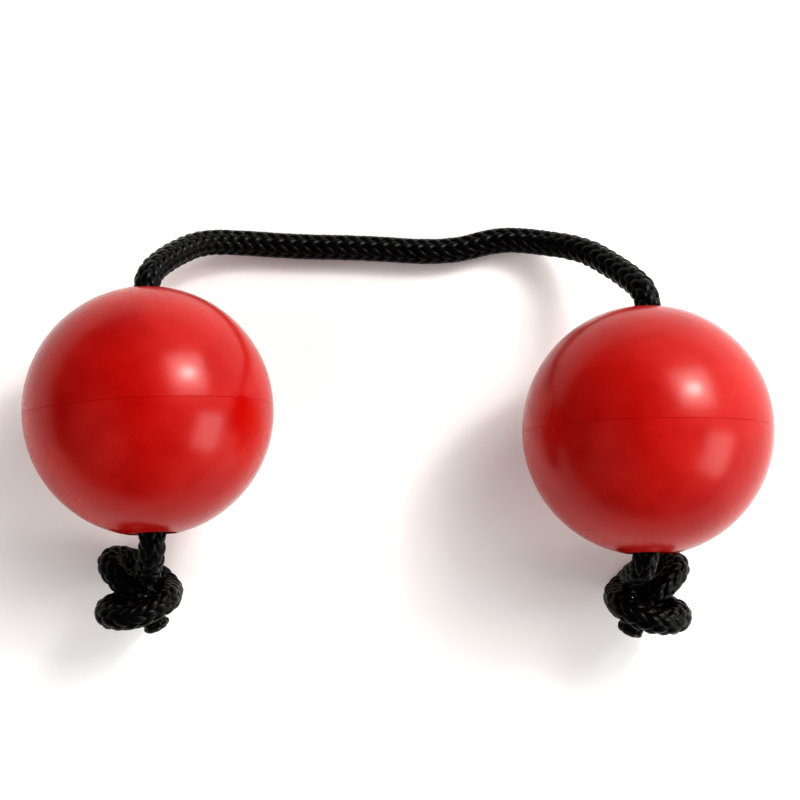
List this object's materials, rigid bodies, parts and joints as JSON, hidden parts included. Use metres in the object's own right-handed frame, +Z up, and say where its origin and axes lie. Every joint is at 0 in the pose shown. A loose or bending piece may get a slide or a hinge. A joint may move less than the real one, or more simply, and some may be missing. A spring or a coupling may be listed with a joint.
{
  "type": "pair of shaker balls on a cord",
  "caption": "Hollow plastic shaker balls loaded with loose beads, joined by a braided cord that runs through each ball and ends in a stopper knot; swung, shaken and clicked together.",
  "frame": {"origin": "The middle of the foot of the two balls' common box, on the surface that they lie on.", "axes": "+X from the left ball to the right one, +Y from the knots towards the free span of the cord, +Z up."},
  "size_m": [0.1556, 0.0906, 0.052],
  "materials": {
    "shell": "moulded red plastic, glossy and slightly waxy",
    "liner": "plain natural plastic tube",
    "beads": "tumbled steel shot",
    "cord": "black braided nylon, satin yarns",
    "melted_cord": "melted nylon, smooth and dull"
  },
  "bodies": {
    "cord_left": {"cord_span_left": "cord", "cord_through_left": "cord", "knot_left": "cord", "cord_tail_left": "cord", "cord_tip_left": "melted_cord"},
    "cord_right": {"cord_span_right": "cord", "cord_through_right": "cord", "knot_right": "cord", "cord_tail_right": "cord", "cord_tip_right": "melted_cord"},
    "liner_left": {"liner_tube_left": "liner"},
    "ball_left": {"shell_cord_side_left": "shell", "shell_knot_side_left": "shell"},
    "beads_left": {"steel_beads_left": "beads"},
    "liner_right": {"liner_tube_right": "liner"},
    "ball_right": {"shell_cord_side_right": "shell", "shell_knot_side_right": "shell"},
    "beads_right": {"steel_beads_right": "beads"}
  },
  "joints": [
    {"name": "cord_flex", "type": "hinge", "parent": "cord_left", "child": "cord_right", "pos_m": [0.0015, 0.03995, 0.0028], "axis": [0, 0, 1], "range_deg": [-55, 90], "deforming": ["cord_span_left", "cord_span_right"]},
    {"name": "ball_slide_left", "type": "slide", "parent": "cord_left", "child": "liner_left", "axis": [-0.0523, 0.9986, 0], "range_m": [-0.0025, 0.0015], "deforming": ["cord_through_left"]},
    {"name": "ball_spin_left", "type": "hinge", "parent": "liner_left", "child": "ball_left", "pos_m": [-0.05185, 0.002, 0.026], "axis": [-0.0523, 0.9986, 0], "continuous": true},
    {"name": "beads_roll_left", "type": "hinge", "parent": "liner_left", "child": "beads_left", "pos_m": [-0.05185, 0.002, 0.026], "axis": [-0.0523, 0.9986, 0], "continuous": true},
    {"name": "ball_slide_right", "type": "slide", "parent": "cord_right", "child": "liner_right", "axis": [-0.0175, 0.9998, 0], "range_m": [-0.001, 0.002], "deforming": ["cord_through_right"]},
    {"name": "ball_spin_right", "type": "hinge", "parent": "liner_right", "child": "ball_right", "pos_m": [0.05185, -0.002, 0.026], "axis": [-0.0175, 0.9998, 0], "continuous": true},
    {"name": "beads_roll_right", "type": "hinge", "parent": "liner_right", "child": "beads_right", "pos_m": [0.05185, -0.002, 0.026], "axis": [-0.0175, 0.9998, 0], "continuous": true}
  ]
}
